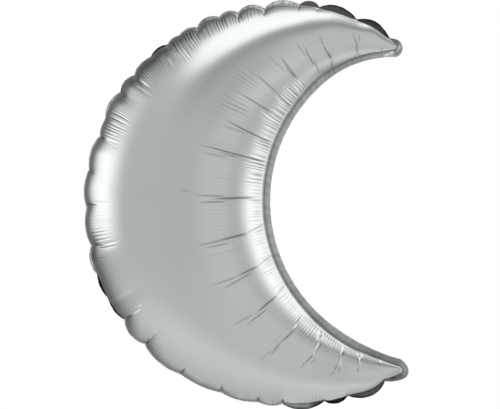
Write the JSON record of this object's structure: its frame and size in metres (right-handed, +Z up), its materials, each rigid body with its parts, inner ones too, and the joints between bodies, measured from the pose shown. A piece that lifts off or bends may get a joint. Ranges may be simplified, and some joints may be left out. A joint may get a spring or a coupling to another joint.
{
  "type": "crescent moon foil balloon",
  "caption": "Gas-filled crescent balloon of silver metallised film, two domed panels heat-sealed at a gathered rim, with a folding filling neck and valve sleeve.",
  "frame": {"origin": "centre of the gas space, where the lift acts, midway between the two film panels", "axes": "+Z up as it floats, along the line between the horns' tips; +X from the belly towards the horns; the front panel faces -Y"},
  "size_m": [0.4635, 0.1586, 0.5877],
  "materials": {
    "front_film": "satin metallised film",
    "back_film": "satin metallised film",
    "sealed_border": "satin film with fine sealing texture",
    "neck_film": "satin metallised film, crumpled",
    "valve_film": "clear flexible film"
  },
  "bodies": {
    "envelope": {"front_panel": "front_film", "back_panel": "back_film", "seal_border": "sealed_border"},
    "fill_neck": {"neck_front_film": "neck_film", "neck_back_film": "neck_film", "valve_sleeve": "valve_film"}
  },
  "joints": [
    {"name": "neck_fold", "type": "hinge", "parent": "envelope", "child": "fill_neck", "pos_m": [-0.01432, 0.00882, -0.25851], "axis": [-0.8957, 0, 0.4446], "range_deg": [0, 110]}
  ]
}
